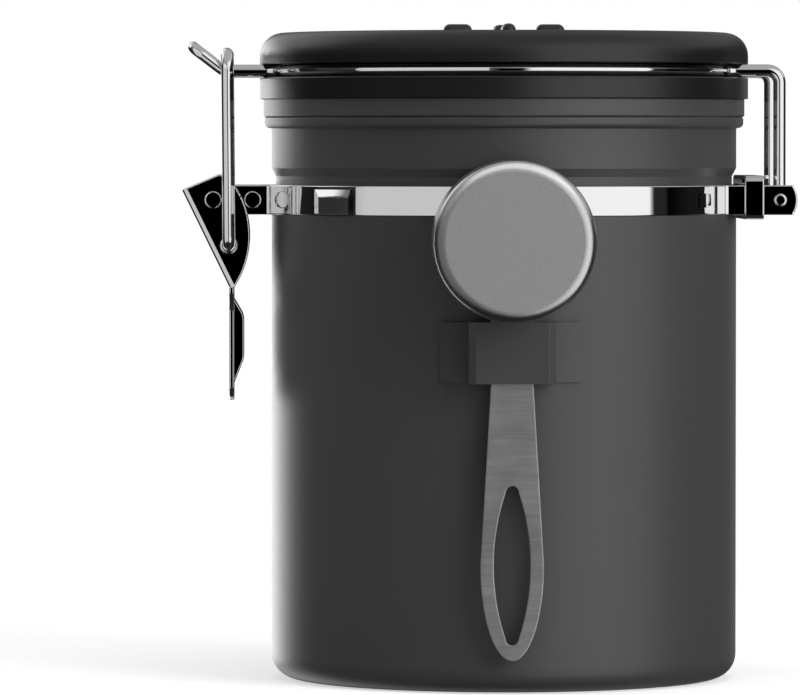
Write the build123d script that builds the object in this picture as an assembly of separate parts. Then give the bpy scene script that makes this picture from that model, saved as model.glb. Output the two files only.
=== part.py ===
from build123d import *
import math
import os

# A steel coffee canister with a wire-bail clasp, a lid with a gas valve under it and a date dial on top,
# and a scoop that hangs on its front.
# Sizes are in millimetres. The origin is the centre of the base and +Z is up.
# +X is the hinge side, -X the clasp side, and -Y the front, where the scoop hangs.

# Canister
body_radius = 60.0
wall = 0.8
foot_radius = 6.3
rim_top = 144.77
bead_height = 2.87
bead_overhang = 1.8
bead_round = 1.3
bead_under_round = 0.4
neck_gap = 2.25
neck_slope = 2.1

# Clearances
seat_gap = 0.02
pin_gap = 0.06
moving_gap = 0.3
overrun = 2.0

# Band round the neck, in two halves whose ends are bent out into ears
band_below_rim = 25.12
band_height = 7.6
band_thickness = 1.1
band_bend = 1.6
clasp_ear_y = 9.7
clasp_bend_out = 1.5
hinge_ear_y = 21.2
hinge_bend_out = 0.1
hinge_ear_tail = 4.4
hinge_ear_round = 6.6
keeper_start_angle = 215.0
keeper_ramp_sweep = 3.1
keeper_sweep = 13.2
keeper_height = 6.2
keeper_above_edge = 0.4
keeper_thickness = 1.2
keeper_slope_height = 1.9
keeper_top_round = 1.6
punch_start_angle = 324.0
punch_sweep = 4.8
punch_height = 3.6
punch_rise = 0.4
edge_round = 0.2
sheet_round = 0.35

# Rivets, and the pieces that hold the ears apart or together
rivet_radius = 1.3
rivet_head_radius = 2.2
rivet_head_height = 0.5
rivet_head_round = 0.3
ear_rivet_out = 4.9
spacer_wall = 0.9
clip_out = 0.8
clip_length = 5.0
clip_thickness = 1.0
clip_height = 11.2
clip_round = 1.7
clip_below_band = 1.15
hinge_spacer_length = 4.0
hinge_spacer_height = 7.0

# Wires: one makes the hinge legs, the ring in the lid and the tab, and one makes the bail
wire_radius = 1.6
wire_end_round = 0.5
pin_bend_share = 1.4
leg_bend_share = 1.9
ring_bend_share = 2.5
hinge_out = 10.0
hinge_pin_straight = 0.5
hinge_pin_proud = 1.1
tab_leg_y = 9.75
tab_bend_out = 12.4
tab_length = 9.8
tab_angle = 37.5
bail_pin_straight = 0.1
bail_pin_inside = 0.4
bail_corner_share = 2.9
bail_before_tab_bend = 1.0
bail_lift = 1.15

# Clasp lever, a folded steel channel that ends in a flanged handle
clasp_out = 15.0
bail_pivot_in = 4.0
bail_pivot_down = 11.7
lever_nose = 8.15
cheek_gap = 0.15
lever_sheet = 1.1
cheek_width = 17.55
cheek_height = 29.4
cheek_below_pivot = 22.55
cheek_top_round = 2.4
cheek_nose_round = 0.6
web_bend = 1.5
web_top_share = (0.0, 0.852)
cheek_top_share = (0.59, 1.0)
cheek_edge_share = (0.806, 0.871)
cheek_bulge_share = (1.0, 0.486)
neck_right_share = (0.77, 0.0)
neck_left_share = (0.695, 0.0)
eyelet_wall = 0.6
eyelet_rise = 0.6
eyelet_round = 0.45
handle_sheet = 1.3
handle_half_width = 7.6
handle_length = 29.1
handle_shoulder = 7.4
handle_corner = 5.0
flange_rise = 2.55
flange_drop = 1.8
flange_long = 24.6
flange_flat = 11.0
flange_round = 5.0
flange_set_back = 0.4

# Lid
gasket_height = 4.57
gasket_overhang = 2.1
gasket_round = 0.4
lid_overhang = 3.03
lid_flange_height = 5.58
lid_edge_round = 0.5
groove_depth = 6.0
groove_play = 0.2
skirt_gap = 0.08
hub_wall = 2.0
upper_flange_height = 1.8
lid_plate = 2.2
plug_side_gap = 5.7
plug_depth = 5.8
plug_wall = 2.0
cap_height = 8.08
cap_wall = 2.0
cap_corner = 5.95
screw_count = 4
screw_in = 9.5
screw_start_angle = 45.0
screw_radius = 1.5
screw_length = 9.0
screw_head_radius = 2.8
screw_head_height = 1.8
screw_slot_width = 0.8
screw_slot_depth = 0.8
screw_hole_gap = 0.2
boss_wall = 1.7

# Date ring and dial
ring_recess_radius = 30.3
ring_recess_depth = 1.6
day_ring_thickness = 1.5
dial_radius = 18.1
dial_thickness = 1.3
dial_turned = 3.4
lug_count = 4
lug_circle = 12.0
lug_long = 7.4
lug_wide = 3.5
lug_height = 2.3
lug_round = 1.65
pointer_long = 2.2
pointer_wide = 3.0
pointer_height = 0.5
stem_radius = 3.5
stem_groove = 0.6
stem_below_clip = 1.1
dial_clip_wall = 2.6
dial_clip_thickness = 0.6
dial_clip_mouth = 4.6

# Valve cartridge, a bayonet disc under the lid
valve_radius = 19.0
valve_height = 5.4
valve_proud = 0.3
valve_round = 2.2
window_share = 0.64
valve_lug_count = 3
valve_lug_reach = 1.4
valve_lug_height = 1.7
valve_lug_sweep = 22.0
slot_sweep = 27.0
valve_twist = 40.0
socket_wall = 1.6
socket_lip_height = 3.0
diaphragm_drop = 1.0
diaphragm_thickness = 1.0
vent_count = 6
vent_radius = 1.1
vent_circle = 4.4
flap_radius = 7.0
flap_thickness = 0.6
flap_stem_radius = 1.1
flap_bulb_radius = 1.7
flap_bulb_height = 0.5
filter_thickness = 1.1
grip_thickness = 1.0
grip_rib_height = 0.6
grip_waist_share = 0.70
grip_end_share = 0.80
rib_width_share = 0.066
rib_pitch_share = 0.24
lid_vent_count = 6
lid_vent_radius = 1.2
lid_vent_circle = 9.4

# Scoop and the holder that its handle slides through
holder_below_band = 26.25
holder_height = 15.4
holder_plate_width = 35.7
holder_plate_thickness = 0.9
holder_plate_step = 0.2
holder_out = 8.0
holder_bevel = 1.6
holder_side_wall = 2.5
holder_front_wall = 1.6
holder_edge_round = 0.3
strip_side_gap = 0.35
scoop_rest_gap = 0.1
cup_radius = 20.2
cup_depth = 23.4
cup_wall = 0.9
cup_face_round = 3.0
handle_out = 3.4
strip_thickness = 1.2
rim_ring_width = 1.6
strip_top_width = 10.6
strip_width = 15.9
strip_length = 69.4
strip_widest_down = 45.6
slot_top_down = 25.6
slot_length = 39.8
slot_width = 9.2
slot_end_width = 3.3

# Places that follow from the sizes above
groove_radius = body_radius - band_thickness
band_low = rim_top - band_below_rim
band_top = band_low + band_height
pivot_z = band_low + band_height / 2
band_inner = groove_radius + seat_gap
band_mid = band_inner + band_thickness / 2
band_outer = band_inner + band_thickness
clasp_x = body_radius + clasp_out
hinge_x = body_radius + hinge_out
hinge_ear_inner = hinge_ear_y - band_thickness / 2
hinge_ear_outer = hinge_ear_y + band_thickness / 2
clasp_ear_inner = clasp_ear_y - band_thickness / 2
clasp_ear_outer = clasp_ear_y + band_thickness / 2
cheek_inner = clasp_ear_outer + cheek_gap
cheek_outer = cheek_inner + lever_sheet

wire_diameter = 2 * wire_radius
pin_bend = pin_bend_share * wire_radius
pin_hole_radius = wire_radius + pin_gap
hinge_leg_y = hinge_ear_inner - hinge_pin_straight - pin_bend
bail_leg_y = cheek_outer + eyelet_rise + bail_pin_straight + pin_bend

flange_low = rim_top + gasket_height
flange_top = flange_low + lid_flange_height
groove_top = flange_top + wire_diameter + groove_play
lid_top = groove_top + cap_height
lid_radius = body_radius + lid_overhang
groove_floor_radius = lid_radius - groove_depth
plate_top = flange_low + lid_plate
plug_radius = body_radius - wall - plug_side_gap
screw_circle = plug_radius - plug_wall - screw_in
lid_wire_z = flange_top + wire_radius + seat_gap
ring_wire_radius = groove_floor_radius + wire_radius + seat_gap
recess_floor = lid_top - ring_recess_depth
recess_under = recess_floor - cap_wall

tab_bend_x = body_radius + tab_bend_out
tab_tip_x = tab_bend_x + tab_length * math.cos(math.radians(tab_angle))
tab_tip_z = lid_wire_z + tab_length * math.sin(math.radians(tab_angle))
bail_pivot_x = clasp_x - bail_pivot_in
bail_pivot_z = pivot_z - bail_pivot_down
bail_top_x = tab_bend_x - bail_before_tab_bend
bail_top_z = lid_wire_z + wire_diameter + bail_lift

valve_top = flange_low - moving_gap
valve_low = valve_top - valve_height
window_radius = window_share * valve_radius
socket_low = valve_low + valve_proud
lip_top = socket_low + socket_lip_height
valve_lug_radius = valve_radius + valve_lug_reach
socket_inner = valve_radius + moving_gap
socket_groove = valve_lug_radius + moving_gap
socket_outer = socket_groove + socket_wall
diaphragm_top = valve_top - diaphragm_drop
diaphragm_low = diaphragm_top - diaphragm_thickness

holder_top = band_low - holder_below_band
holder_low = holder_top - holder_height
holder_inner = body_radius + seat_gap
holder_plate_outer = holder_inner + holder_plate_thickness
holder_slot_half = strip_width / 2 + strip_side_gap
holder_half = holder_slot_half + holder_side_wall
scoop_z = holder_top + scoop_rest_gap + cup_radius
handle_back = body_radius + handle_out
handle_front = handle_back + strip_thickness
cup_face = handle_front + cup_depth

# Planes: the front view, and one that looks along X
front = Plane.XZ
side = Plane(origin=(0, 0, 0), x_dir=(0, 1, 0), z_dir=(1, 0, 0))


def turned(points, radii=None):
    """Turn a half outline of (radius, height) points about Z, with a corner radius at each point."""
    outline = FilletPolyline(*points, radius=radii or [0] * len(points), close=True)
    return revolve(front * make_face(outline), axis=Axis.Z)


def arc_plate(inner, outer, low, high, start_angle, sweep):
    """A plate that follows the round wall, from start_angle on."""
    section = make_face(Polyline((inner, low), (outer, low), (outer, high), (inner, high), close=True))
    return Rot(0, 0, start_angle) * revolve(front * section, axis=Axis.Z, revolution_arc=sweep)


def pin_y(x, z, radius, y_start, y_end):
    """A round pin or hole along Y."""
    return Pos(x, (y_start + y_end) / 2, z) * Rot(90, 0, 0) * Cylinder(radius, y_end - y_start)


def tube_y(x, z, outer, inner, half_length):
    """A tube along Y, centred on the front-to-back midplane."""
    bore = half_length + overrun
    return pin_y(x, z, outer, -half_length, half_length) - pin_y(x, z, inner, -bore, bore)


def around(count, radius, start_angle, piece):
    """Copies of a piece evenly round Z at a radius."""
    step = 360 / count
    return [Rot(0, 0, start_angle + i * step) * Pos(radius, 0, 0) * piece for i in range(count)]


def wire_along(path):
    """A round wire swept along a path, with a rounded end where the path starts."""
    start = path @ 0
    wire = sweep(Plane(origin=start, z_dir=path % 0) * Circle(wire_radius), path=path)

    def is_end(edge):
        reach = (edge.position_at(1 / 2) - start).length
        return abs(reach - wire_radius) < seat_gap

    return softened(wire, wire_end_round, is_end)


def both_sides(half):
    """A half at +Y joined to its mirror image at -Y."""
    return half + mirror(half, about=front)


def softened(shape, radius, keep):
    """Round the edges of a shape for which keep(edge) is true."""
    return fillet([edge for edge in shape.edges() if keep(edge)], radius)


def is_level(edge):
    """True for an edge whose ends have the same X."""
    return abs(edge.position_at(0).X - edge.position_at(1).X) < seat_gap


def is_flat(edge):
    """True for an edge whose ends have the same Y."""
    return abs(edge.position_at(0).Y - edge.position_at(1).Y) < seat_gap


# Canister and band


def canister_body():
    bead_low = rim_top - bead_height
    slope_low = band_top + neck_gap
    slope_top = slope_low + neck_slope
    inside = body_radius - wall
    groove_inside = groove_radius - wall
    points = [
        (0, 0), (body_radius, 0), (body_radius, band_low), (groove_radius, band_low),
        (groove_radius, slope_low), (body_radius, slope_top), (body_radius, bead_low),
        (body_radius + bead_overhang, bead_low), (body_radius + bead_overhang, rim_top),
        (inside, rim_top), (inside, slope_top), (groove_inside, slope_low),
        (groove_inside, band_low - wall), (inside, band_low - wall), (inside, wall), (0, wall),
    ]
    radii = [0] * len(points)
    radii[1] = foot_radius
    radii[6] = bead_under_round
    radii[7] = bead_round
    radii[8] = bead_round / 2
    radii[9] = wall / 2
    radii[14] = foot_radius - wall
    return turned(points, radii)


def bent_bar(points, bends):
    """The straight ear of a band, its bend and the flat that runs on to the round wall."""
    return FilletPolyline(*points, radius=bends).edges()


def wall_tangent(x, y, turn):
    """Where a flat from the point (x, y) touches the band's middle circle."""
    angle = math.atan2(y, x) + turn * math.acos(band_mid / math.hypot(x, y))
    return (band_mid * math.cos(angle), band_mid * math.sin(angle), pivot_z)


def band_half():
    """The front half of the band, from the clasp ears round to the hinge ears."""
    clasp_bend = -(math.sqrt(band_mid**2 - clasp_ear_y**2) + clasp_bend_out)
    hinge_bend = math.sqrt(band_mid**2 - hinge_ear_y**2) + hinge_bend_out
    clasp_touch = wall_tangent(clasp_bend, -clasp_ear_y, 1)
    hinge_touch = wall_tangent(hinge_bend, -hinge_ear_y, -1)
    ear_start = (-clasp_x, -clasp_ear_y, pivot_z)
    ear_end = (hinge_x + hinge_ear_tail, -hinge_ear_y, pivot_z)
    path = Wire(
        bent_bar([ear_start, (clasp_bend, -clasp_ear_y, pivot_z), clasp_touch], [band_bend])
        + [ThreePointArc(clasp_touch, (0, -band_mid, pivot_z), hinge_touch)]
        + bent_bar([hinge_touch, (hinge_bend, -hinge_ear_y, pivot_z), ear_end], [band_bend])
    )
    start = Plane(origin=ear_start, x_dir=(0, 1, 0), z_dir=(1, 0, 0))
    half = sweep(start * RectangleRounded(band_thickness, band_height, sheet_round), path=path)
    ear_round = pin_y(-clasp_x, pivot_z, band_height / 2, -clasp_ear_outer, -clasp_ear_inner)
    half += softened(ear_round, sheet_round, lambda edge: edge.length > band_height)
    # The hinge ear ends in a shallow arc.
    tail = Pos(ear_end[0], -hinge_ear_y, pivot_z) * Box(band_height, band_height, band_height + overrun)
    disc = pin_y(
        ear_end[0] - hinge_ear_round, pivot_z, hinge_ear_round, -hinge_ear_outer, -hinge_ear_inner
    )
    half -= tail - softened(disc, sheet_round, lambda edge: edge.length > band_height)
    holes = [
        (-clasp_x, rivet_radius + seat_gap),
        (-body_radius - ear_rivet_out, rivet_radius + seat_gap),
        (hinge_x, pin_hole_radius),
    ]
    for x, radius in holes:
        half -= pin_y(x, pivot_z, radius, -hinge_ear_outer - overrun, 0)
    return half


def band_front():
    """The front half carries a small punched tab near the hinge."""
    punch = arc_plate(
        band_mid, band_outer + punch_rise, pivot_z - punch_height / 2, pivot_z + punch_height / 2,
        punch_start_angle, punch_sweep,
    )
    return band_half() + punch


def on_circle(radius, degrees):
    """The point at this radius and angle round Z."""
    return (radius * math.cos(math.radians(degrees)), radius * math.sin(math.radians(degrees)))


def band_keeper():
    """The raised plate that locks the band's overlap on the front. Its top and its left end slope down."""
    inner = band_outer + seat_gap
    outer = inner + keeper_thickness
    low = band_low + keeper_above_edge
    high = low + keeper_height
    plate = turned(
        [
            (inner, low), (outer, low), (outer, high - keeper_slope_height), (inner + edge_round, high),
            (inner, high),
        ],
        [0, edge_round, keeper_top_round, 0, 0],
    )
    # Seen from above, the plate is cut to its length, with the ramp at its left end.
    stop_angle = keeper_start_angle + keeper_sweep
    ramp_top = keeper_start_angle + keeper_ramp_sweep
    plan = make_face(
        Polyline(
            on_circle(groove_radius, keeper_start_angle), on_circle(inner, keeper_start_angle),
            on_circle(outer, ramp_top), on_circle(lid_radius, ramp_top), on_circle(lid_radius, stop_angle),
            on_circle(groove_radius, stop_angle), close=True,
        )
    )
    return plate & extrude(plan, amount=2 * high)


def headed_rivet(x, half_grip):
    """A rivet across both ears, with a flat round head at each end."""
    length = half_grip + rivet_head_height
    rivet = pin_y(x, pivot_z, rivet_radius, -length, length)
    head = pin_y(x, pivot_z, rivet_head_radius, half_grip, length)
    head = softened(head, rivet_head_round, lambda edge: edge.center().Y > half_grip + edge_round)
    return rivet + both_sides(head)


def ear_rivet():
    return headed_rivet(-body_radius - ear_rivet_out, clasp_ear_outer + seat_gap)


def lever_rivet():
    return headed_rivet(-clasp_x, cheek_outer + pin_gap)


def ear_spacer():
    bore = rivet_radius + seat_gap
    return tube_y(
        -body_radius - ear_rivet_out, pivot_z, bore + spacer_wall, bore, clasp_ear_inner - seat_gap
    )


def lever_spacer():
    bore = rivet_radius + seat_gap
    return tube_y(-clasp_x, pivot_z, bore + spacer_wall, bore, clasp_ear_inner - seat_gap)


def hinge_clip():
    """The sleeve that is pressed round both hinge ears."""
    half = hinge_ear_outer + seat_gap + clip_thickness
    middle = band_low - clip_below_band + clip_height / 2
    outer = RectangleRounded(2 * half, clip_height, clip_round)
    inner = Rectangle(2 * (half - clip_thickness), clip_height - 2 * clip_thickness)
    place = Pos(body_radius + clip_out, 0, middle)
    sleeve = place * extrude(side * outer, amount=clip_length)
    sleeve = softened(sleeve, sheet_round, is_level)
    return sleeve - place * extrude(side * inner, amount=clip_length)


def hinge_spacer():
    """The bar between the hinge ears that the sleeve squeezes them against."""
    middle = body_radius + clip_out + clip_length / 2
    width = 2 * (hinge_ear_inner - seat_gap)
    bar = Pos(middle, 0, pivot_z) * Box(hinge_spacer_length, width, hinge_spacer_height)
    return softened(bar, edge_round, lambda edge: not is_flat(edge))


def scoop_holder():
    """A curved plate on the wall with a block on it, and a slot down through the block."""
    front_y = -body_radius - holder_out
    outline = FilletPolyline(
        (-holder_half, 0), (-holder_half, front_y + holder_bevel), (-holder_half + holder_bevel, front_y),
        (holder_half - holder_bevel, front_y), (holder_half, front_y + holder_bevel), (holder_half, 0),
        radius=[0, holder_edge_round, holder_edge_round, holder_edge_round, holder_edge_round, 0],
        close=True,
    )
    block = Pos(0, 0, holder_low) * extrude(make_face(outline), amount=holder_height)
    slot_front = front_y + holder_front_wall
    slot = Pos(0, slot_front / 2, holder_low + holder_height / 2) * Box(
        2 * holder_slot_half, -slot_front, holder_height + overrun
    )
    body = Cylinder(holder_inner, 2 * rim_top)
    half_angle = math.degrees(math.asin(holder_plate_width / 2 / holder_plate_outer))
    plate = arc_plate(
        holder_inner, holder_plate_outer, holder_low + holder_plate_step, holder_top - holder_plate_step,
        -90 - half_angle, 2 * half_angle,
    )
    return block - slot - body + plate


# Lid


def gasket():
    """The grey seal that fills the step between the rim and the lid's flange."""
    outer = body_radius + gasket_overhang
    inner = plug_radius + seat_gap
    points = [(inner, rim_top), (outer, rim_top), (outer, flange_low), (inner, flange_low)]
    return turned(points, [0, gasket_round, gasket_round / 2, 0])


def lid_base():
    """The lower half of the lid: plug, flange, wire groove and the valve's bayonet socket."""
    plug_low = flange_low - plug_depth
    upper_top = groove_top + upper_flange_height
    upper_radius = lid_radius - cap_wall - skirt_gap
    hub_inner = groove_floor_radius - hub_wall
    base = turned(
        [
            (0, flange_low), (socket_inner, flange_low), (socket_inner, socket_low),
            (socket_outer, socket_low), (socket_outer, flange_low), (plug_radius - plug_wall, flange_low),
            (plug_radius - plug_wall, plug_low), (plug_radius, plug_low), (plug_radius, flange_low),
            (lid_radius, flange_low), (lid_radius, flange_top), (groove_floor_radius, flange_top),
            (groove_floor_radius, groove_top), (upper_radius, groove_top), (upper_radius, upper_top),
            (hub_inner, upper_top), (hub_inner, plate_top), (0, plate_top),
        ],
        [0, 0, 0, lid_edge_round, 0, 0, 0, lid_edge_round, 0, edge_round, lid_edge_round] + [0] * 7,
    )
    # The bayonet groove above the socket's lip, and the slots that let the lugs in.
    base -= turned(
        [(0, lip_top), (socket_groove, lip_top), (socket_groove, flange_low), (0, flange_low)]
    )
    slot = arc_plate(
        valve_radius, socket_groove, socket_low - overrun, flange_low, -slot_sweep / 2, slot_sweep
    )
    for i in range(valve_lug_count):
        base -= Rot(0, 0, valve_twist + i * 360 / valve_lug_count) * slot
    for hole in around(lid_vent_count, lid_vent_circle, 0, Cylinder(lid_vent_radius, 2 * plate_top)):
        base -= hole
    screw_hole = Cylinder(screw_radius + screw_hole_gap, 2 * plate_top)
    for hole in around(screw_count, screw_circle, screw_start_angle, screw_hole):
        base -= hole
    return base


def lid_cap():
    """The domed cover, with the recess for the date ring and bosses for the screws."""
    inside = lid_radius - cap_wall
    under = lid_top - cap_wall
    ledge = ring_recess_radius + cap_wall
    hole = stem_radius + pin_gap
    cap = turned(
        [
            (inside, groove_top), (lid_radius, groove_top), (lid_radius, lid_top),
            (ring_recess_radius, lid_top), (ring_recess_radius, recess_floor), (hole, recess_floor),
            (hole, recess_under), (ledge, recess_under), (ledge, under), (inside, under),
        ],
        [0, edge_round, cap_corner, lid_edge_round, 0, 0, 0, 0, 0, cap_corner - cap_wall],
    )
    boss_low = plate_top + seat_gap
    boss_length = lid_top - cap_wall / 2 - boss_low
    boss = Cylinder(screw_radius + boss_wall, boss_length) - Cylinder(screw_radius + seat_gap, lid_top)
    # The core hole stops under the cap's skin.
    boss += Pos(0, 0, boss_length / 2 - cap_wall / 2) * Cylinder(screw_radius + boss_wall, cap_wall)
    for copy in around(screw_count, screw_circle, screw_start_angle, boss):
        cap += Pos(0, 0, boss_low + boss_length / 2) * copy
    return cap


def lid_screws():
    """Pan-head screws that go up through the plate into the cap's bosses."""
    head_mid = flange_low - seat_gap - screw_head_height / 2
    screw = Pos(0, 0, head_mid) * Cylinder(screw_head_radius, screw_head_height)
    screw = softened(
        screw, screw_head_height / 3, lambda edge: edge.center().Z < head_mid
    )
    screw += Pos(0, 0, head_mid + screw_length / 2) * Cylinder(screw_radius, screw_length)
    for angle in (0, 90):
        slot = Box(2 * (screw_head_radius - screw_slot_width), screw_slot_width, 2 * screw_slot_depth)
        screw -= Pos(0, 0, head_mid - screw_head_height / 2) * Rot(0, 0, angle) * slot
    return Compound(around(screw_count, screw_circle, screw_start_angle, screw))


def ring_bend(leg_y, direction):
    """Where a straight leg bends round onto the lid's ring: its start, middle and end."""
    bend = ring_bend_share * wire_radius
    reach = ring_wire_radius + bend
    centre_y = leg_y + bend
    centre_x = direction * math.sqrt(reach**2 - centre_y**2)
    on_leg = Vector(centre_x, leg_y, lid_wire_z)
    on_ring = Vector(centre_x * ring_wire_radius / reach, centre_y * ring_wire_radius / reach, lid_wire_z)
    centre = Vector(centre_x, centre_y, lid_wire_z)
    middle = centre + ((on_leg - centre) + (on_ring - centre)).normalized() * bend
    return on_leg, middle, on_ring


def lid_wire():
    """Hinge legs, the ring in the lid's groove and the tab, all one wire."""
    leg_bend = leg_bend_share * wire_radius
    hinge_leg, hinge_middle, hinge_ring = ring_bend(hinge_leg_y, 1)
    tab_leg, tab_middle, tab_ring = ring_bend(tab_leg_y, -1)
    pin_end = hinge_ear_outer + hinge_pin_proud
    hinge_part = FilletPolyline(
        (hinge_x, pin_end, pivot_z), (hinge_x, hinge_leg_y, pivot_z), (hinge_x, hinge_leg_y, lid_wire_z),
        hinge_leg, radius=[pin_bend, leg_bend],
    )
    tab_part = FilletPolyline(
        tab_leg, (-tab_bend_x, tab_leg_y, lid_wire_z), (-tab_tip_x, tab_leg_y, tab_tip_z),
        (-tab_tip_x, 0, tab_tip_z), radius=[leg_bend, leg_bend],
    )
    path = Wire(
        hinge_part.edges()
        + [
            ThreePointArc(hinge_leg, hinge_middle, hinge_ring),
            ThreePointArc(hinge_ring, (0, ring_wire_radius, lid_wire_z), tab_ring),
            ThreePointArc(tab_ring, tab_middle, tab_leg),
        ]
        + tab_part.edges()
    )
    return both_sides(wire_along(path))


def day_ring():
    inner = dial_radius + moving_gap
    return turned(
        [
            (inner, recess_floor), (ring_recess_radius - seat_gap, recess_floor),
            (ring_recess_radius - seat_gap, recess_floor + day_ring_thickness),
            (inner, recess_floor + day_ring_thickness),
        ],
        [0, 0, edge_round, edge_round],
    )


# Dial


def date_dial():
    """The disc with grip lugs and a pointer, turning on a stem through the cap."""
    low = recess_floor + moving_gap
    top = low + dial_thickness
    clip_top = recess_under - moving_gap
    clip_low = clip_top - dial_clip_thickness - moving_gap
    stem_low = clip_low - stem_below_clip
    neck = stem_radius - stem_groove
    dial = turned(
        [
            (0, stem_low), (stem_radius, stem_low), (stem_radius, clip_low), (neck, clip_low),
            (neck, clip_top), (stem_radius, clip_top), (stem_radius, low), (dial_radius, low),
            (dial_radius, top), (0, top),
        ],
        [0, edge_round, 0, 0, 0, 0, 0, 0, edge_round, 0],
    )
    lug = extrude(SlotOverall(lug_long, lug_wide), amount=lug_height + dial_thickness / 2)
    lug = softened(lug, lug_round, lambda edge: edge.center().Z > lug_height)
    for copy in around(lug_count, lug_circle, dial_turned, lug):
        dial += Pos(0, 0, top - dial_thickness / 2) * copy
    tip = dial_radius - edge_round
    arrow = make_face(
        Polyline((tip, 0), (tip - pointer_long, pointer_wide / 2), (tip - pointer_long, -pointer_wide / 2),
                 close=True)
    )
    arrow = extrude(arrow, amount=pointer_height + dial_thickness / 2)
    return dial + Pos(0, 0, top - dial_thickness / 2) * Rot(0, 0, dial_turned - 90) * arrow


def dial_clip():
    """The open spring ring that keeps the dial's stem in the cap."""
    low = recess_under - moving_gap - dial_clip_thickness
    inner = stem_radius - stem_groove + seat_gap
    ring = turned(
        [
            (inner, low), (inner + dial_clip_wall, low), (inner + dial_clip_wall, low + dial_clip_thickness),
            (inner, low + dial_clip_thickness),
        ]
    )
    return ring - Pos(inner + dial_clip_wall, 0, low) * Box(
        2 * (inner + dial_clip_wall), dial_clip_mouth, 2 * overrun
    )


# Valve


def valve_housing():
    """The white ring with bayonet lugs and the vented wall that the flap seals."""
    housing = turned(
        [
            (0, diaphragm_low), (window_radius, diaphragm_low), (window_radius, valve_low),
            (valve_radius, valve_low), (valve_radius, valve_top), (window_radius, valve_top),
            (window_radius, diaphragm_top), (0, diaphragm_top),
        ],
        [0, 0, edge_round, valve_round, edge_round, 0, 0, 0],
    )
    lug_low = lip_top + moving_gap
    lug = arc_plate(
        valve_radius - valve_lug_reach, valve_lug_radius, lug_low, lug_low + valve_lug_height,
        -valve_lug_sweep / 2, valve_lug_sweep,
    )
    for i in range(valve_lug_count):
        housing += Rot(0, 0, i * 360 / valve_lug_count) * lug
    for hole in around(vent_count, vent_circle, 0, Cylinder(vent_radius, 2 * valve_top)):
        housing -= hole
    return housing - Cylinder(flap_stem_radius + seat_gap, 2 * valve_top)


def valve_flap():
    """The soft umbrella flap that lets gas out and no air in."""
    bulb_top = diaphragm_low - seat_gap
    base = diaphragm_top + seat_gap
    return turned(
        [
            (0, bulb_top - flap_bulb_height), (flap_bulb_radius, bulb_top - flap_bulb_height),
            (flap_bulb_radius, bulb_top), (flap_stem_radius, bulb_top), (flap_stem_radius, base),
            (flap_radius, base), (flap_radius, base + flap_thickness), (0, base + flap_thickness),
        ],
        [0, 0, 0, 0, 0, 0, edge_round, 0],
    )


def filter_top():
    return diaphragm_low - flap_bulb_height - 3 * seat_gap


def valve_filter():
    """The grey filter disc under the vents."""
    radius = window_radius - seat_gap
    top = filter_top()
    return Pos(0, 0, top - filter_thickness / 2) * Cylinder(radius, filter_thickness)


def valve_grip():
    """The brown waisted bar with two ribs that holds the filter in the window."""
    radius = window_radius - seat_gap
    top = filter_top() - filter_thickness - seat_gap
    end_x = grip_end_share * radius
    end_y = math.sqrt(radius**2 - end_x**2)
    waist = grip_waist_share * radius
    outline = make_face([
        ThreePointArc((end_x, end_y), (0, radius), (-end_x, end_y)),
        ThreePointArc((-end_x, end_y), (-waist, 0), (-end_x, -end_y)),
        ThreePointArc((-end_x, -end_y), (0, -radius), (end_x, -end_y)),
        ThreePointArc((end_x, -end_y), (waist, 0), (end_x, end_y)),
    ])
    rib_width = rib_width_share * 2 * radius
    rib_length = 2 * radius * grip_end_share
    grip = Pos(0, 0, top - grip_thickness) * extrude(outline, amount=grip_thickness)
    for x in (-rib_pitch_share * radius, rib_pitch_share * radius):
        rib = Box(rib_width, rib_length, grip_thickness + grip_rib_height)
        rib = softened(rib, edge_round, lambda edge: edge.center().Z < -grip_thickness / 2)
        grip += Pos(x, 0, top - (grip_thickness + grip_rib_height) / 2) * rib
    return grip


# Clasp


def cheek_point(share):
    """A point of the cheek's outline, from its shares of the cheek's width and height."""
    left = -clasp_x - lever_nose
    low = pivot_z - cheek_below_pivot
    return Vector(left + share[0] * cheek_width, low + share[1] * cheek_height)


def lever_channel():
    """The sloping web and its two cheeks, folded from one sheet."""
    web_top = cheek_point(web_top_share)
    neck_left = cheek_point(neck_left_share)
    neck_right = cheek_point(neck_right_share)
    edge_start = cheek_point(cheek_edge_share)
    outline = make_face(
        FilletPolyline(
            neck_left, web_top, cheek_point(cheek_top_share), edge_start,
            radius=[cheek_nose_round, cheek_top_round],
        ).edges()
        + [ThreePointArc(edge_start, cheek_point(cheek_bulge_share), neck_right), Line(neck_right, neck_left)]
    )
    cheeks = extrude(front * outline, amount=cheek_outer, both=True)
    cheeks = softened(cheeks, sheet_round, is_flat)
    # The folded section, with the web at its top and the cheeks hanging down from it.
    depth = -2 * cheek_width
    section = FilletPolyline(
        (-cheek_outer, depth), (-cheek_outer, 0), (cheek_outer, 0), (cheek_outer, depth),
        (cheek_inner, depth), (cheek_inner, -lever_sheet), (-cheek_inner, -lever_sheet),
        (-cheek_inner, depth), radius=[0, web_bend, web_bend, 0, 0, web_bend / 3, web_bend / 3, 0],
        close=True,
    )
    along = (web_top - neck_left).normalized()
    start = neck_left - along * cheek_height
    fold = Plane(origin=(start.X, 0, start.Y), x_dir=(0, 1, 0), z_dir=(along.X, 0, along.Y))
    return cheeks & extrude(fold * make_face(section), amount=3 * cheek_height)


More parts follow.
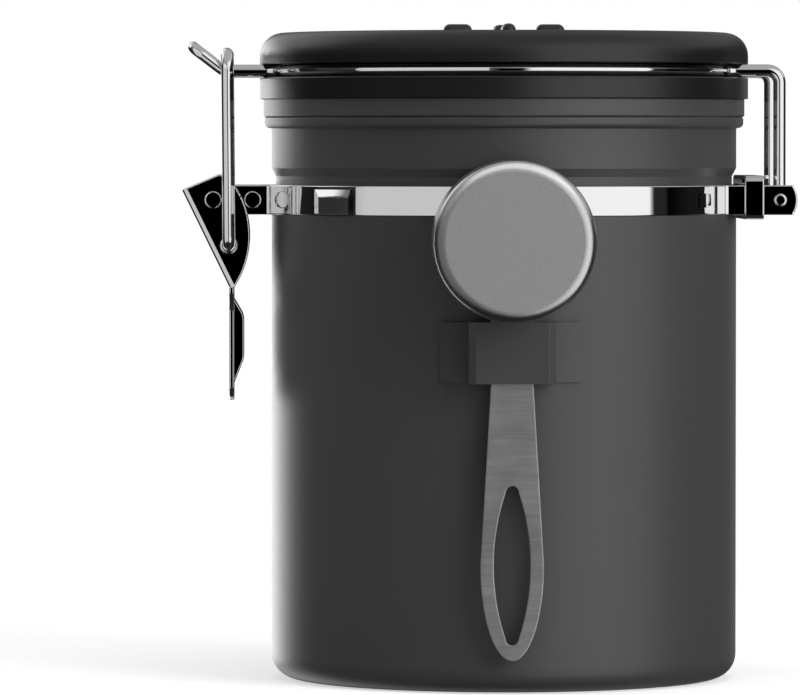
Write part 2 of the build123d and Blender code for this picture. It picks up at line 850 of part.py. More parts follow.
def lever_handle():
    """The flat handle below the neck, with a stiffening flange along each side."""
    neck_left = cheek_point(neck_left_share)
    top = neck_left.Y
    low = top - handle_length
    shoulder = top - handle_shoulder
    middle = (top + shoulder) / 2
    outline = [
        Line((cheek_outer, top), (-cheek_outer, top)),
        Bezier((-cheek_outer, top), (-cheek_outer, middle), (-handle_half_width, middle),
               (-handle_half_width, shoulder)),
    ]
    outline += FilletPolyline(
        (-handle_half_width, shoulder), (-handle_half_width, low), (handle_half_width, low),
        (handle_half_width, shoulder), radius=[handle_corner, handle_corner],
    ).edges()
    outline.append(
        Bezier((handle_half_width, shoulder), (handle_half_width, middle), (cheek_outer, middle),
               (cheek_outer, top))
    )
    handle = Pos(neck_left.X, 0, 0) * extrude(side * make_face(outline), amount=handle_sheet)
    below_neck = top - sheet_round
    handle = softened(handle, sheet_round, lambda edge: edge.center().Z < below_neck and is_level(edge))
    inner_face = neck_left.X + handle_sheet / 2
    flange_high = top - flange_drop
    flange_low_z = flange_high - flange_long
    flat_high = flange_high - (flange_long - flange_flat) * 2 / 5
    rise = inner_face + handle_sheet / 2 + flange_rise
    flange = make_face(
        FilletPolyline(
            (inner_face, flange_high), (rise, flat_high), (rise, flat_high - flange_flat),
            (inner_face, flange_low_z), radius=[0, flange_round, flange_round, 0], close=True,
        )
    )
    flange_inner = handle_half_width - flange_set_back - handle_sheet
    flange = Pos(0, -flange_inner, 0) * extrude(front * flange, amount=handle_sheet)
    past_handle = inner_face + sheet_round
    flange = softened(flange, sheet_round, lambda edge: edge.center().X > past_handle and is_flat(edge))
    return handle + both_sides(flange)


def lever():
    lever_part = lever_channel() + lever_handle()
    reach = cheek_outer + overrun
    eyelet = pin_y(
        -bail_pivot_x, bail_pivot_z, pin_hole_radius + eyelet_wall, cheek_inner, cheek_outer + eyelet_rise
    )
    eyelet = softened(eyelet, eyelet_round, lambda edge: edge.position_at(0).Y > cheek_outer and is_flat(edge))
    lever_part += both_sides(eyelet)
    lever_part -= pin_y(-clasp_x, pivot_z, rivet_radius + pin_gap, -reach, reach)
    lever_part -= pin_y(-bail_pivot_x, bail_pivot_z, pin_hole_radius, -reach, reach)
    return lever_part


def bail():
    """The wire loop that pulls the tab down, with its ends turned in through the cheeks."""
    path = FilletPolyline(
        (-bail_pivot_x, cheek_inner - bail_pin_inside, bail_pivot_z),
        (-bail_pivot_x, bail_leg_y, bail_pivot_z), (-bail_top_x, bail_leg_y, bail_top_z),
        (-bail_top_x, 0, bail_top_z), radius=[pin_bend, bail_corner_share * wire_radius],
    )
    return both_sides(wire_along(path))


# Scoop


def scoop_bowl():
    cup = turned(
        [
            (0, cup_face - cup_wall), (cup_radius - cup_wall, cup_face - cup_wall),
            (cup_radius - cup_wall, handle_front), (cup_radius, handle_front), (cup_radius, cup_face),
            (0, cup_face),
        ],
        [0, cup_face_round - cup_wall, 0, 0, cup_face_round, 0],
    )
    return Pos(0, 0, scoop_z) * Rot(90, 0, 0) * cup


def scoop_handle():
    """One flat blank: a rim ring that the cup is welded to, and the long strip with its slot."""
    half_top = strip_top_width / 2
    half = strip_width / 2
    widest_z = holder_low - strip_widest_down
    low = holder_low - strip_length
    strip = make_face([
        Line((half, widest_z), (half_top, holder_low)),
        Line((half_top, holder_low), (half_top, scoop_z)),
        Line((half_top, scoop_z), (-half_top, scoop_z)),
        Line((-half_top, scoop_z), (-half_top, holder_low)),
        Line((-half_top, holder_low), (-half, widest_z)),
        EllipticalCenterArc((0, widest_z), half, widest_z - low, start_angle=180, arc_size=180),
    ])
    slot_top = holder_low - slot_top_down
    slot_low = slot_top - slot_length
    end = slot_end_width / 2
    slot_middle = (slot_top + slot_low) / 2
    slot = make_face([
        ThreePointArc((end, slot_top - end), (0, slot_top), (-end, slot_top - end)),
        ThreePointArc((-end, slot_top - end), (-slot_width / 2, slot_middle), (-end, slot_low + end)),
        ThreePointArc((-end, slot_low + end), (0, slot_low), (end, slot_low + end)),
        ThreePointArc((end, slot_low + end), (slot_width / 2, slot_middle), (end, slot_top - end)),
    ])
    sheet = Plane(origin=(0, -handle_back, 0), x_dir=(1, 0, 0), z_dir=(0, -1, 0))
    blank = Pos(0, scoop_z) * Circle(cup_radius) + strip
    blank = blank - Pos(0, scoop_z) * Circle(cup_radius - rim_ring_width) - slot
    return extrude(sheet * blank, amount=strip_thickness)


nodes = [
    canister_body, band_front, band_keeper, ear_rivet, lever_rivet, ear_spacer, lever_spacer, hinge_clip,
    hinge_spacer, scoop_holder, gasket, lid_base, lid_cap, lid_screws, lid_wire, day_ring, date_dial,
    dial_clip, valve_housing, valve_flap, valve_filter, valve_grip, lever, bail, scoop_bowl, scoop_handle,
]

os.makedirs("parts", exist_ok=True)
pieces = {make.__name__: make() for make in nodes}
pieces["band_rear"] = mirror(band_half(), about=front)
for name, piece in pieces.items():
    export_step(piece, f"parts/{name}.step")
    print(name, round(piece.volume, 1))
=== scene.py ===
# %% [markdown]
# # A coffee canister with a clasp lid
# The pieces come from CAD as exact solids, already in place and in metres. What is left for Blender is
# what makes them look real: the finishes, the printed numbers, the light and the camera.

# %% Load the solids
import math

import bpy
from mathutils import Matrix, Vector


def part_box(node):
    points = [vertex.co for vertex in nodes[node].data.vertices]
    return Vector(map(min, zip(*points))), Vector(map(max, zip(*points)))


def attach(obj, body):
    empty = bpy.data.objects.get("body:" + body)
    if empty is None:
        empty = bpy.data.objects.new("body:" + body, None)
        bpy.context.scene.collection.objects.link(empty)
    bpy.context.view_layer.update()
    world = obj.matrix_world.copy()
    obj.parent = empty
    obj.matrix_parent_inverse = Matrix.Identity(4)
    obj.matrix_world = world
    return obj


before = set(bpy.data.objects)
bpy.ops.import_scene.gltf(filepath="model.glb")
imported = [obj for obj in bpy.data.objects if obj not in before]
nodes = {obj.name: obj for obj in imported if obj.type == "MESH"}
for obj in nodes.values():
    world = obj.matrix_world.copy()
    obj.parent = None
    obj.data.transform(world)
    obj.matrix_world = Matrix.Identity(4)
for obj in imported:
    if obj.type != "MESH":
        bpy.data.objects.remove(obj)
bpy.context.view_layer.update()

# %% [markdown]
# ## The camera
# The photograph was taken from far away with a long lens, level with the neck of the body, so upright
# edges stay upright and the lid shows no top. The camera stands a little to the left of straight in
# front. A long lens needs exact aim: the camera looks a little down and a little to the left of the
# canister's axis, which puts the canister right of the middle, as in the picture. Turning the camera is
# better than shifting the lens, because other views keep the lens as it is.

# %% Camera
image_width = 800
image_height = 695
sensor_width = 36
focal_pixels = 7000
camera_distance = 1.81
eye_height = 0.1388
turned_left = math.radians(1.9)
axis_column = 503.8
horizon_row = 140

camera_data = bpy.data.cameras.new("camera")
camera_data.sensor_width = sensor_width
camera_data.lens = focal_pixels / image_width * sensor_width
camera = bpy.data.objects.new("camera", camera_data)
bpy.context.scene.collection.objects.link(camera)
bpy.context.scene.camera = camera
camera.location = (
    -camera_distance * math.sin(turned_left),
    -camera_distance * math.cos(turned_left),
    eye_height,
)
aim_left = math.atan((axis_column - image_width / 2) / focal_pixels)
aim_down = math.atan((image_height / 2 - horizon_row) / focal_pixels)
camera.rotation_euler = (math.pi / 2 - aim_down, 0, aim_left - turned_left)
print("lens:", round(camera_data.lens), "mm")

# %% [markdown]
# ## Shader sums in plain Python
# Blender's shader maths is made of nodes, one for each sum. Placing them by hand hides the idea, so a
# small class wraps a node's output and turns Python's own operators into Math nodes. After this,
# `0.4 + grain * 0.1` reads as what it means. Every other node comes from one method, `add`.


# %% A value that makes its own Math nodes
class Tone:
    """One output of a shader node, which can be used in sums."""

    def __init__(self, owner, socket):
        self.owner = owner
        self.socket = socket

    def sum_node(self, operation, *values):
        return self.owner.add("ShaderNodeMath", {"operation": operation}, dict(enumerate(values)))

    def __add__(self, other):
        return self.sum_node("ADD", self, other)

    def __sub__(self, other):
        return self.sum_node("SUBTRACT", self, other)

    def __rsub__(self, other):
        return self.sum_node("SUBTRACT", other, self)

    def __mul__(self, other):
        return self.sum_node("MULTIPLY", self, other)

    def __truediv__(self, other):
        return self.sum_node("DIVIDE", self, other)

    __radd__ = __add__
    __rmul__ = __mul__

    def power(self, exponent):
        return self.sum_node("POWER", self, exponent)

    def step(self, low, high):
        """0 below low and 1 above high, with a smooth rise between them."""
        return self.owner.add(
            "ShaderNodeMapRange", {"interpolation_type": "SMOOTHSTEP"}, {0: self, 1: low, 2: high}
        )


class Nodes:
    """The nodes of one material or of the world."""

    def __init__(self, tree):
        self.tree = tree
        self.tree.nodes.clear()

    def add(self, kind, settings=None, inputs=None, output=0):
        """A node of this type. Its settings are set first, then its sockets get values or links."""
        node = self.tree.nodes.new(kind)
        for name, value in (settings or {}).items():
            if name == "stops":
                self.set_stops(node.color_ramp, value)
            else:
                setattr(node, name, value)
        for name, value in (inputs or {}).items():
            if isinstance(value, Tone):
                self.tree.links.new(value.socket, node.inputs[name])
            else:
                node.inputs[name].default_value = value
        return Tone(self, node.outputs[output]) if node.outputs else node

    def set_stops(self, ramp, stops):
        while len(ramp.elements) > 1:
            ramp.elements.remove(ramp.elements[-1])
        for index, (position, level) in enumerate(stops):
            element = ramp.elements[0] if index == 0 else ramp.elements.new(position)
            element.position = position
            element.color = (level, level, level, 1)

    def parts(self, vector):
        """The three numbers of a vector."""
        return [self.add("ShaderNodeSeparateXYZ", inputs={0: vector}, output=axis) for axis in "XYZ"]

    def mix(self, factor, first, second):
        """Colour `first` where the factor is 0 and `second` where it is 1."""
        return self.add(
            "ShaderNodeMix", {"data_type": "RGBA"}, {0: factor, 6: first, 7: second}, output=2
        )


print("shader sums: + - * /, power and step")

# %% [markdown]
# ## Finishes
# Every finish here is worked out from the point on the piece itself, measured in metres from the middle
# of the canister's base. Nothing has to be unwrapped, a grain has its true size, and it stays on the piece
# when the piece moves. A finish needs three things: a colour that is never quite even, a roughness that
# varies a little too, and a fine relief.


# %% What all finishes share
class Finish(Nodes):
    """A material that is worked out from the place on the piece."""

    def __init__(self, name):
        self.material = bpy.data.materials.new(name)
        self.material.use_nodes = True
        super().__init__(self.material.node_tree)
        self.place = self.add("ShaderNodeTexCoord", output="Object")

    def noise(self, scale, detail=2, stretch=None):
        place = self.place
        if stretch:
            place = self.add(
                "ShaderNodeVectorMath", {"operation": "MULTIPLY"}, {0: self.place, 1: stretch}
            )
        return self.add("ShaderNodeTexNoise", inputs={"Vector": place, "Scale": scale, "Detail": detail})

    def relief(self, height, depth, edge_radius=0):
        """A normal bent by a height from 0 to 1, for a relief of this depth in metres.

        With an edge radius, sharp edges catch the light as if they were rounded."""
        inputs = {"Height": height, "Distance": depth, "Strength": 1.0}
        if edge_radius:
            inputs["Normal"] = self.add("ShaderNodeBevel", {"samples": 6}, {"Radius": edge_radius})
        return self.add("ShaderNodeBump", inputs=inputs)

    def surface(self, color, roughness, normal, **fixed):
        """The finished material, with one Principled surface."""
        inputs = {"Base Color": color, "Roughness": roughness, "Normal": normal}
        inputs.update(fixed)
        shader = self.add("ShaderNodeBsdfPrincipled", inputs=inputs)
        self.add("ShaderNodeOutputMaterial", inputs={"Surface": shader})
        return self.material


def shade(level, warmth=0.0):
    """A grey of this level, a little warmer or colder."""
    return (level * (1 + warmth), level, level * (1 - warmth), 1)


def wear(*names, finish):
    """Put a finished material on CAD nodes."""
    for name in names:
        materials = nodes[name].data.materials
        materials.clear()
        materials.append(finish)
    print(finish.name, "on", ", ".join(names))


mm = 0.001
print("a warm middle grey:", shade(0.5, warmth=0.02))

# %% [markdown]
# ### Powder coat
# The body is steel with a dark grey powder coat. Powder melts into a skin with a fine orange-peel relief,
# which spreads each highlight into a soft band. A small noise makes the peel, a large faint one keeps the
# grey from looking painted by a computer, and the inside of the canister is bare brushed steel. Inside
# and outside are one solid, so a mask tells them apart by the way that the surface faces.

# %% Powder-coated steel
coat_grey = 0.056
bare_steel = 0.62
plastic_ior = 1.6
above_floor = 8 * mm


def inside_mask(coat):
    """1 where the wall faces the axis, and where the floor of the body faces up."""
    x, y, z = coat.parts(coat.place)
    face_x, face_y, face_z = coat.parts(coat.add("ShaderNodeNewGeometry", output="Normal"))
    faces_axis = ((x * face_x + y * face_y) * -1).step(4 * mm, 8 * mm)
    is_floor = face_z.step(0.4, 0.6) * (1 - z.step(above_floor, above_floor + 1 * mm))
    return (faces_axis + is_floor).step(0.2, 0.8)


def powder_coat(name, bare_inside=False):
    coat = Finish(name)
    peel = coat.noise(scale=1500, detail=3)
    cloud = coat.noise(scale=25)
    color = coat.mix(cloud, shade(coat_grey * 0.94), shade(coat_grey * 1.06))
    roughness = 0.4 + peel * 0.08
    metallic = 0.0
    if bare_inside:
        metallic = inside_mask(coat)
        brush = coat.noise(scale=60, detail=4, stretch=(1, 1, 60))
        color = coat.mix(metallic, color, shade(bare_steel))
        roughness = roughness * (1 - metallic) + metallic * (0.26 + brush * 0.12)
    normal = coat.relief(peel, 0.02 * mm)
    return coat.surface(color, roughness, normal, Metallic=metallic, IOR=plastic_ior)


wear("canister_body", finish=powder_coat("powder_coat_body", bare_inside=True))
wear("scoop_holder", finish=powder_coat("powder_coat_holder"))

# %% [markdown]
# ### Moulded plastic and silicone
# The lid is moulded plastic, almost black, with the fine even texture that a spark-eroded mould leaves.
# The seal is grey silicone, which gathers dust, and the larger noise hints at that with uneven tones.
# The valve under the lid is made of the same two materials, in white, brown and milky white.

# %% Plastics and rubber


def moulded(name, color, rough, grain_scale, grain_depth, mottle):
    """Plastic or rubber with the grain of its mould, whose depth is in millimetres."""
    plastic = Finish(name)
    grain = plastic.noise(scale=grain_scale, detail=2)
    cloud = plastic.noise(scale=35, detail=3)
    darker = tuple(channel * (1 - mottle) for channel in color[:3]) + (1,)
    lighter = tuple(channel * (1 + mottle) for channel in color[:3]) + (1,)
    tone = plastic.mix(cloud, darker, lighter)
    roughness = rough - 0.05 + grain * 0.1 + cloud * 0.04
    return plastic.surface(tone, roughness, plastic.relief(grain, grain_depth * mm), IOR=plastic_ior)


valve_brown = (0.155, 0.074, 0.031, 1)
# Pieces, name, colour, roughness, grain scale, grain depth, and how uneven the colour is.
moulded_finishes = [
    (["lid_base", "lid_cap"], "lid_plastic", shade(0.006), 0.36, 1900, 0.016, 0.08),
    (["day_ring"], "day_ring_plastic", shade(0.011), 0.42, 1900, 0.012, 0.08),
    (["date_dial"], "dial_plastic", shade(0.012), 0.34, 1700, 0.014, 0.08),
    (["gasket"], "gasket_silicone", shade(0.06), 0.4, 900, 0.01, 0.1),
    (["valve_housing"], "valve_white", shade(0.78, 0.01), 0.4, 1500, 0.01, 0.02),
    (["valve_grip"], "valve_brown", valve_brown, 0.42, 1400, 0.014, 0.08),
    (["valve_flap"], "flap_silicone", shade(0.7, 0.03), 0.5, 700, 0.008, 0.03),
]
for pieces, *look in moulded_finishes:
    wear(*pieces, finish=moulded(*look))

# %% [markdown]
# ### Filter felt
# The valve's filter is a pad of fine grey fibres. Two noises stretched across each other look like a mat
# of threads, and the same mix drives colour and relief, so the low gaps are darker: painted shade between
# threads.

# %% Felt
thread_scale = 900
felt = Finish("filter_felt")
one_way = felt.noise(scale=thread_scale, detail=4, stretch=(1, 4, 1))
other_way = felt.noise(scale=thread_scale, detail=4, stretch=(4, 1, 1))
threads = one_way * 0.5 + other_way * 0.5
# Darker where the threads are low: painted shade in the gaps between them, mixed with the felt's own
# uneven grey.
felt_color = felt.mix(threads, shade(0.16), shade(0.42))
felt_surface = felt.surface(felt_color, 0.85 + threads * 0.1, felt.relief(threads, 0.12 * mm))
wear("valve_filter", finish=felt_surface)

# %% [markdown]
# ### Polished steel
# Polished steel has almost no colour of its own: it shows what is around it. Its surface is still not
# perfect, so a slow noise bends the reflections a little and a fine one keeps them from being glass-clear.
# The keeper is a stamped plate, and its finish is hazier than the band's.

# %% Polished steel
polished_steel = 0.84


def polished(name, waviness=0.03, haziness=0.03):
    """Polished steel with slow waves, whose height is in millimetres."""
    steel = Finish(name)
    wave = steel.noise(scale=55, detail=1)
    haze = steel.noise(scale=420, detail=3)
    color = steel.mix(haze, shade(polished_steel * 0.97), shade(polished_steel))
    roughness = haziness * 0.8 + haze * haziness
    return steel.surface(color, roughness, steel.relief(wave, waviness * mm), Metallic=1.0)


wear("band_front", "band_rear", "hinge_clip", "hinge_spacer", finish=polished("polished_band"))
wear("band_keeper", finish=polished("polished_keeper", haziness=0.08))
wear("lid_wire", "bail", finish=polished("polished_wire", waviness=0.02))
wear("lever", finish=polished("polished_lever", waviness=0.05))
wear("ear_rivet", "lever_rivet", finish=polished("polished_rivet", waviness=0.01))

# %% [markdown]
# ### Brushed and turned steel
# Brushing leaves scratches along one direction. A noise makes them when its coordinates are multiplied
# across that direction, which squeezes the pattern into lines, and a second noise adds cloudy patches.
# The scoop's handle is a strip with sharp edges in CAD. A Bevel node rounds them for the light alone, so
# that they show the thin bright line that a real strip's edges have.

# %% Brushed steel


def brushed(name, level, rough, stretch, depth, coarse=260, edge_radius=0):
    """Scratched steel. The scratches' depth and the radius of the edges are in millimetres."""
    steel = Finish(name)
    scratch = steel.noise(scale=coarse, detail=5, stretch=stretch)
    blotch = steel.noise(scale=70, detail=3)
    bright = scratch.step(0.25, 0.75) * 0.5 + blotch.step(0.35, 0.6) * 0.5
    color = steel.mix(bright, shade(level * 0.76, 0.005), shade(level * 1.1, 0.005))
    roughness = rough - 0.06 + scratch * 0.12
    normal = steel.relief(scratch, depth * mm, edge_radius * mm)
    return steel.surface(color, roughness, normal, Metallic=1.0)


turned = brushed("turned_steel", level=0.55, rough=0.25, stretch=(1, 12, 1), depth=0.006)
wear("ear_spacer", "lever_spacer", "lid_screws", "dial_clip", finish=turned)
strip = brushed(
    "handle_steel", level=0.53, rough=0.38, stretch=(1, 1, 28), depth=0.008, coarse=60, edge_radius=0.5
)
wear("scoop_handle", finish=strip)

# %% [markdown]
# ### Blasted steel
# The scoop's cup is blasted with fine beads, so its face is an even pale grey, while the rounded rim is
# smoother and catches the light. One material can do both: the distance from the cup's axis says where
# the rim begins. A very fine noise stands for the marks of the beads.

# %% The scoop's cup
rim_width = 2.8 * mm
rim_fade = 1.4 * mm
bowl_low, bowl_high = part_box("scoop_bowl")
bowl_radius = (bowl_high.x - bowl_low.x) / 2
bowl_height = (bowl_high.z + bowl_low.z) / 2

bowl = Finish("blasted_steel")
bowl_x, _, bowl_z = bowl.parts(bowl.place)
up_bowl = bowl_z - bowl_height
from_bowl_axis = (bowl_x * bowl_x + up_bowl * up_bowl).power(0.5)
on_rim = from_bowl_axis.step(bowl_radius - rim_width, bowl_radius - rim_fade)
blast = bowl.noise(scale=2600, detail=3)
bowl_color = bowl.mix(blast.step(0.3, 0.7), shade(0.6, 0.005), shade(0.68, 0.005))
bowl_roughness = 0.4 - on_rim * 0.14 + blast * 0.06
bowl_normal = bowl.relief(blast, 0.0005 * mm)
wear("scoop_bowl", finish=bowl.surface(bowl_color, bowl_roughness, bowl_normal, Metallic=1.0))

# %% [markdown]
# ## The day numbers
# The ring round the dial carries the days 1 to 31, a little proud and printed pale. Each number is a text
# object, laid on the ring with its foot towards the middle, because Blender's own letters are cleaner
# than any that are drawn by hand.

# %% Day numbers as text
_, ring_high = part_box("day_ring")
dial_low, dial_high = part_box("date_dial")
dial_radius = (dial_high.x - dial_low.x) / 2
number_radius = (ring_high.x + dial_radius) / 2
number_height = 4.4 * mm
number_rise = 0.12 * mm
number_spacing = 0.9
day_count = 31
first_day_angle = -90

number_parts = []
for day in range(1, day_count + 1):
    angle = math.radians(first_day_angle + (day - 1) * 360 / day_count)
    words = bpy.data.curves.new(f"day_{day}", "FONT")
    words.body = str(day)
    words.size = number_height
    words.align_x = "CENTER"
    words.align_y = "CENTER"
    words.extrude = number_rise / 2
    words.space_character = number_spacing
    text = bpy.data.objects.new(words.name, words)
    text.location = (number_radius * math.cos(angle), number_radius * math.sin(angle), ring_high.z)
    text.rotation_euler = (0, 0, angle + math.pi / 2)
    bpy.context.scene.collection.objects.link(text)
    number_parts.append(text)
bpy.context.view_layer.update()
print("numbers on a circle of", round(number_radius / mm, 1), "mm")

# %% [markdown]
# Thirty-one text objects are a lot to keep in order. Turned into meshes and joined they are one piece,
# which rides on the lid as the ring does.

# %% Day numbers as one mesh
depsgraph = bpy.context.evaluated_depsgraph_get()
vertices, faces = [], []
for text in number_parts:
    mesh = text.evaluated_get(depsgraph).to_mesh()
    start = len(vertices)
    vertices += [text.matrix_world @ vertex.co for vertex in mesh.vertices]
    faces += [[start + index for index in polygon.vertices] for polygon in mesh.polygons]
    text.evaluated_get(depsgraph).to_mesh_clear()
for text in number_parts:
    words = text.data
    bpy.data.objects.remove(text)
    bpy.data.curves.remove(words)

number_print = moulded("number_print", shade(0.62), 0.5, 2500, 0.004, 0.05)
number_mesh = bpy.data.meshes.new("day_numbers")
number_mesh.from_pydata(vertices, [], faces)
day_numbers = bpy.data.objects.new("day_numbers", number_mesh)
bpy.context.scene.collection.objects.link(day_numbers)
day_numbers.data.materials.append(number_print)
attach(day_numbers, "lid")
print("day numbers:", len(number_mesh.polygons), "faces")

# %% [markdown]
# ## Floor and background
# A product picture has no horizon. The floor is a wide pale plane, a tenth of a millimetre under the
# canister's base, so that no two surfaces lie in the same place. It isn't part of the canister.

# %% Floor
floor_half = 3.0
floor_drop = 0.1 * mm
floor_mesh = bpy.data.meshes.new("floor")
floor_mesh.from_pydata(
    [
        (-floor_half, -floor_half, 0), (floor_half, -floor_half, 0),
        (floor_half, floor_half, 0), (-floor_half, floor_half, 0),
    ],
    [], [(0, 1, 2, 3)],
)
floor = bpy.data.objects.new("floor", floor_mesh)
bpy.context.scene.collection.objects.link(floor)
floor.location.z = -floor_drop
print("floor:", 2 * floor_half, "m wide")

# %% [markdown]
# Seen by the camera, the paper on the floor also glows a little. Near the canister that lifts it almost
# to white and leaves a soft shadow, and further out it fades to plain white. Other rays see plain paper,
# so the glow lights nothing, and mirror rays pass through it to the room that the world gives them.

# %% Paper
paper_glow = 0.55
shadow_radius = 0.12
white_radius = 0.4

paper = Finish("floor_paper")
paper_x, paper_y, _ = paper.parts(paper.place)
from_axis = (paper_x * paper_x + paper_y * paper_y).power(0.5)
fibre = paper.noise(scale=300, detail=3)
paper_color = paper.mix(fibre, shade(0.78), shade(0.82))
lit = paper.add("ShaderNodeBsdfDiffuse", inputs={"Color": paper_color})
glow = paper.add("ShaderNodeEmission", inputs={"Color": shade(1.0), "Strength": paper_glow})
white = paper.add("ShaderNodeEmission", inputs={"Color": shade(1.0), "Strength": 1.0})
near = paper.add("ShaderNodeAddShader", inputs={0: lit, 1: glow})
faded = from_axis.step(shadow_radius, white_radius)
bright = paper.add("ShaderNodeMixShader", inputs={0: faded, 1: near, 2: white})
seen = paper.add("ShaderNodeLightPath", output="Is Camera Ray")
paper_surface = paper.add("ShaderNodeMixShader", inputs={0: seen, 1: lit, 2: bright})
paper.add("ShaderNodeOutputMaterial", inputs={"Surface": paper_surface})
floor.visible_glossy = False
floor.data.materials.append(paper.material)
print("paper: white from", white_radius, "m on")

# %% [markdown]
# ## What the steel reflects
# Polished steel is only as good as the room round it. A studio has white panels and black flags, and the
# round band shows them like a map of the whole room. Level with the canister, the room is white to the
# right of the camera and dark grey to the left, and black beyond both. It has a white panel far round
# behind on the left and a narrow grey one behind on the right. Higher up it is the same room in paler,
# softer tones.

# %% The walls of the room
# Degrees to the right of the camera, and how bright the wall is there.
level_room = [
    (-180, 0.02), (-173, 0.02), (-169, 0.9), (-164, 1.6), (-146, 1.6), (-138, 0.9), (-136.5, 0.02),
    (-110, 0.01), (-105, 0.03), (-83, 0.03), (-79, 0.01), (-74, 0.1), (-9, 0.1), (-4, 0.0), (8, 0.0),
    (12, 0.95), (40, 1.05), (75.3, 1.05), (76.3, 0.02), (85.5, 0.02), (86.2, 0.0), (104, 0.01),
    (123, 0.01), (125, 0.12), (138, 0.12), (143, 0.06), (166, 0.06), (171, 0.5), (174, 0.3),
    (177, 0.02), (180, 0.02),
]
high_room = [
    (-180, 0.2), (-165, 0.9), (-138, 0.9), (-128, 1.1), (-108, 1.1), (-101, 0.1), (-60, 0.35),
    (-6, 0.3), (8, 0.5), (16, 1.0), (74, 1.0), (82, 0.6), (150, 0.4), (180, 0.2),
]
print("studio walls:", len(level_room), "and", len(high_room), "stops")

# %% [markdown]
# The world can give mirror rays this room by their direction alone, with no walls to build and no light
# that falls on anything else. A colour ramp turns the compass direction into a brightness, and the height
# of the ray chooses between ground, walls and ceiling.

# %% The room by direction
ceiling = 0.44
ground_front = 0.02
ground_behind = 0.9
# How far up a ray points, from -1 to 1, where the room changes to walls, high walls and ceiling.
walls_from = (-0.72, -0.6)
high_walls_from = (0.24, 0.36)
ceiling_from = (0.68, 0.76)

world = bpy.data.worlds.new("studio")
bpy.context.scene.world = world
world.use_nodes = True
studio = Nodes(world.node_tree)
toward_x, toward_y, toward_z = studio.parts(studio.add("ShaderNodeTexCoord", output="Generated"))
turn = studio.add("ShaderNodeMath", {"operation": "ARCTAN2"}, {0: toward_x, 1: toward_y * -1})


def walls(room):
    return studio.add(
        "ShaderNodeValToRGB",
        {"stops": [((degrees + 180) / 360, level) for degrees, level in room]},
        {0: turn / (2 * math.pi) + 0.5},
    )


ground = studio.mix(toward_y.step(0.3, 0.8), shade(ground_front), shade(ground_behind))
lower = studio.mix(toward_z.step(*walls_from), ground, walls(level_room))
upper = studio.mix(toward_z.step(*high_walls_from), lower, walls(high_room))
mirrored = studio.mix(toward_z.step(*ceiling_from), upper, shade(ceiling))
print("room nodes:", len(world.node_tree.nodes))

# %% [markdown]
# A ray says what it is for. One from the camera finds plain white, one from a mirror finds the room, and
# all others find an even soft light, which reaches into the corners that the lamps leave dark.

# %% World
even_light_strength = 0.14
camera_ray = studio.add("ShaderNodeLightPath", output="Is Camera Ray")
glossy_ray = studio.add("ShaderNodeLightPath", output="Is Glossy Ray")
even_inputs = {"Color": shade(1.0), "Strength": even_light_strength}
even_light = studio.add("ShaderNodeBackground", inputs=even_inputs)
room_light = studio.add("ShaderNodeBackground", inputs={"Color": mirrored, "Strength": 1.0})
white_light = studio.add("ShaderNodeBackground", inputs={"Color": shade(1.0), "Strength": 1.0})
unseen = studio.add("ShaderNodeMixShader", inputs={0: glossy_ray, 1: even_light, 2: room_light})
studio_light = studio.add("ShaderNodeMixShader", inputs={0: camera_ray, 1: unseen, 2: white_light})
studio.add("ShaderNodeOutputWorld", inputs={"Surface": studio_light})
print("world: white background, even light", even_light_strength)

# %% [markdown]
# ## Lamps
# One large soft lamp stands front right and makes the broad light band on the body. Weaker ones from the
# left and from above keep the shadow side open. None of the three shows in reflections, because mirror
# rays already see the room.

# %% Three soft lamps
body_low, body_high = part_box("canister_body")
lamp_target = Vector((0, 0, (body_low.z + body_high.z) / 2))


def soft_lamp(name, azimuth, elevation, distance, width, power, height=None, shines_on=None):
    """A flat lamp at so many degrees right of the camera and above level, square if it has no height.

    With a list of pieces, it lights only those and shows in their reflections."""
    data = bpy.data.lights.new(name, "AREA")
    data.shape = "RECTANGLE"
    data.size = width
    data.size_y = height or width
    data.energy = power
    lamp = bpy.data.objects.new(name, data)
    bpy.context.scene.collection.objects.link(lamp)
    right, up = math.radians(azimuth), math.radians(elevation)
    way = Vector((math.sin(right) * math.cos(up), -math.cos(right) * math.cos(up), math.sin(up)))
    lamp.location = lamp_target + way * distance
    lamp.rotation_euler = way.to_track_quat("Z", "Y").to_euler()
    lamp.visible_camera = False
    lamp.visible_glossy = bool(shines_on)
    if shines_on:
        lit_pieces = bpy.data.collections.new(name + "_pieces")
        for piece in shines_on:
            lit_pieces.objects.link(nodes[piece])
        lamp.light_linking.receiver_collection = lit_pieces
    print(name, "lamp:", round(power, 2), "W at", azimuth, "degrees")


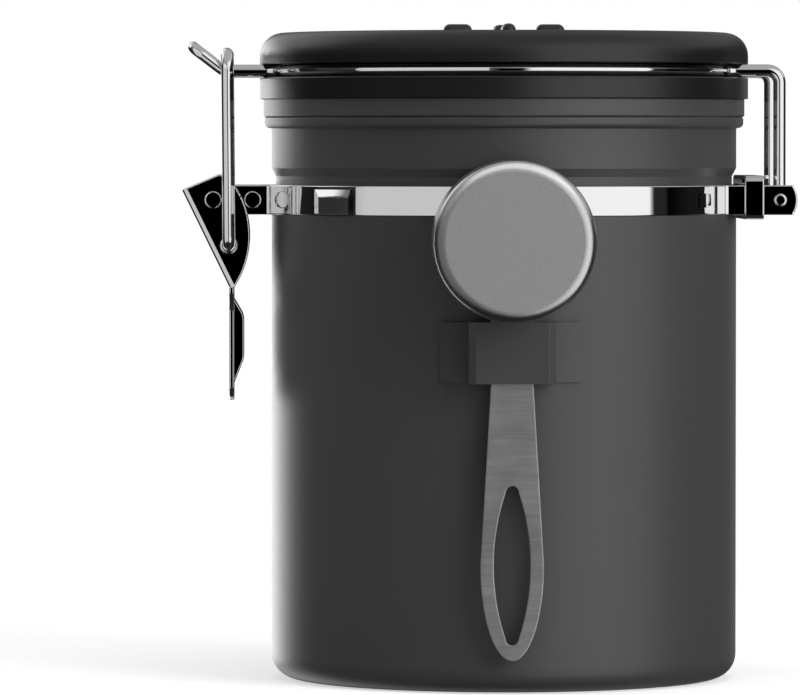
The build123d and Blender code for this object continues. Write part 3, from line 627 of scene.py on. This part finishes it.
soft_lamp("key", azimuth=46, elevation=22, distance=1.6, width=0.9, power=14.3)
soft_lamp("fill", azimuth=-105, elevation=15, distance=2.0, width=1.4, power=16)
soft_lamp("top", azimuth=20, elevation=80, distance=1.5, width=1.2, power=8)

# %% [markdown]
# ## Panels for single pieces
# A photographer holds a card beside one piece to lift it and leaves its neighbour alone. Light linking
# does the same: a panel lights, and shows in, only the pieces on its list. Pale panels serve the steel,
# the scoop's cup and its handle. Panels far round behind put pale edges on the dark shell and the dome
# of the lid, where they meet the white background.

# %% Linked panels
shell = ["canister_body", "scoop_holder", "gasket", "lid_base"]
dome = ["lid_cap", "day_ring", "date_dial"]
steel = [
    "band_front", "band_rear", "band_keeper", "hinge_clip", "ear_rivet", "lever_rivet", "lid_wire", "bail",
    "lever",
]


def panel_power(brightness, width, height):
    """The power that gives a flat lamp this brightness in a mirror, where 1 is white."""
    return brightness * math.pi * width * height


# Name, azimuth, elevation, distance, width, height, brightness and the pieces that it shines on.
linked_panels = [
    ("steel_panel", -44, 0, 2.0, 2.8, 2.8, 0.55, steel),
    ("ear_panel", 131, 0, 2.0, 0.46, 2.8, 0.23, steel),
    ("scoop_panel", -44, 0, 2.0, 2.8, 2.8, 0.08, ["scoop_bowl"]),
    ("scoop_sky", 15, 62, 1.6, 2.6, 1.6, 0.7, ["scoop_bowl"]),
    ("handle_panel", -44, 0, 2.0, 2.8, 2.8, 0.2, ["scoop_handle"]),
    ("shell_panel", -154, 5, 1.8, 0.95, 1.1, 3.3, shell),
    ("right_panel", 158, 5, 1.8, 0.5, 1.1, 0.45, shell),
    ("dome_panel", -150, 0, 1.8, 1.2, 1.0, 2.1, dome),
]
for name, azimuth, elevation, distance, width, height, brightness, pieces in linked_panels:
    power = panel_power(brightness, width, height)
    soft_lamp(name, azimuth, elevation, distance, width, power, height, shines_on=pieces)

# %% [markdown]
# ## The view
# Blender's usual view bends bright colours as film does, and turns a white background grey. The
# Standard view shows each colour as it was written.

# %% View
bpy.context.scene.view_settings.view_transform = "Standard"
print("view:", bpy.context.scene.view_settings.view_transform)
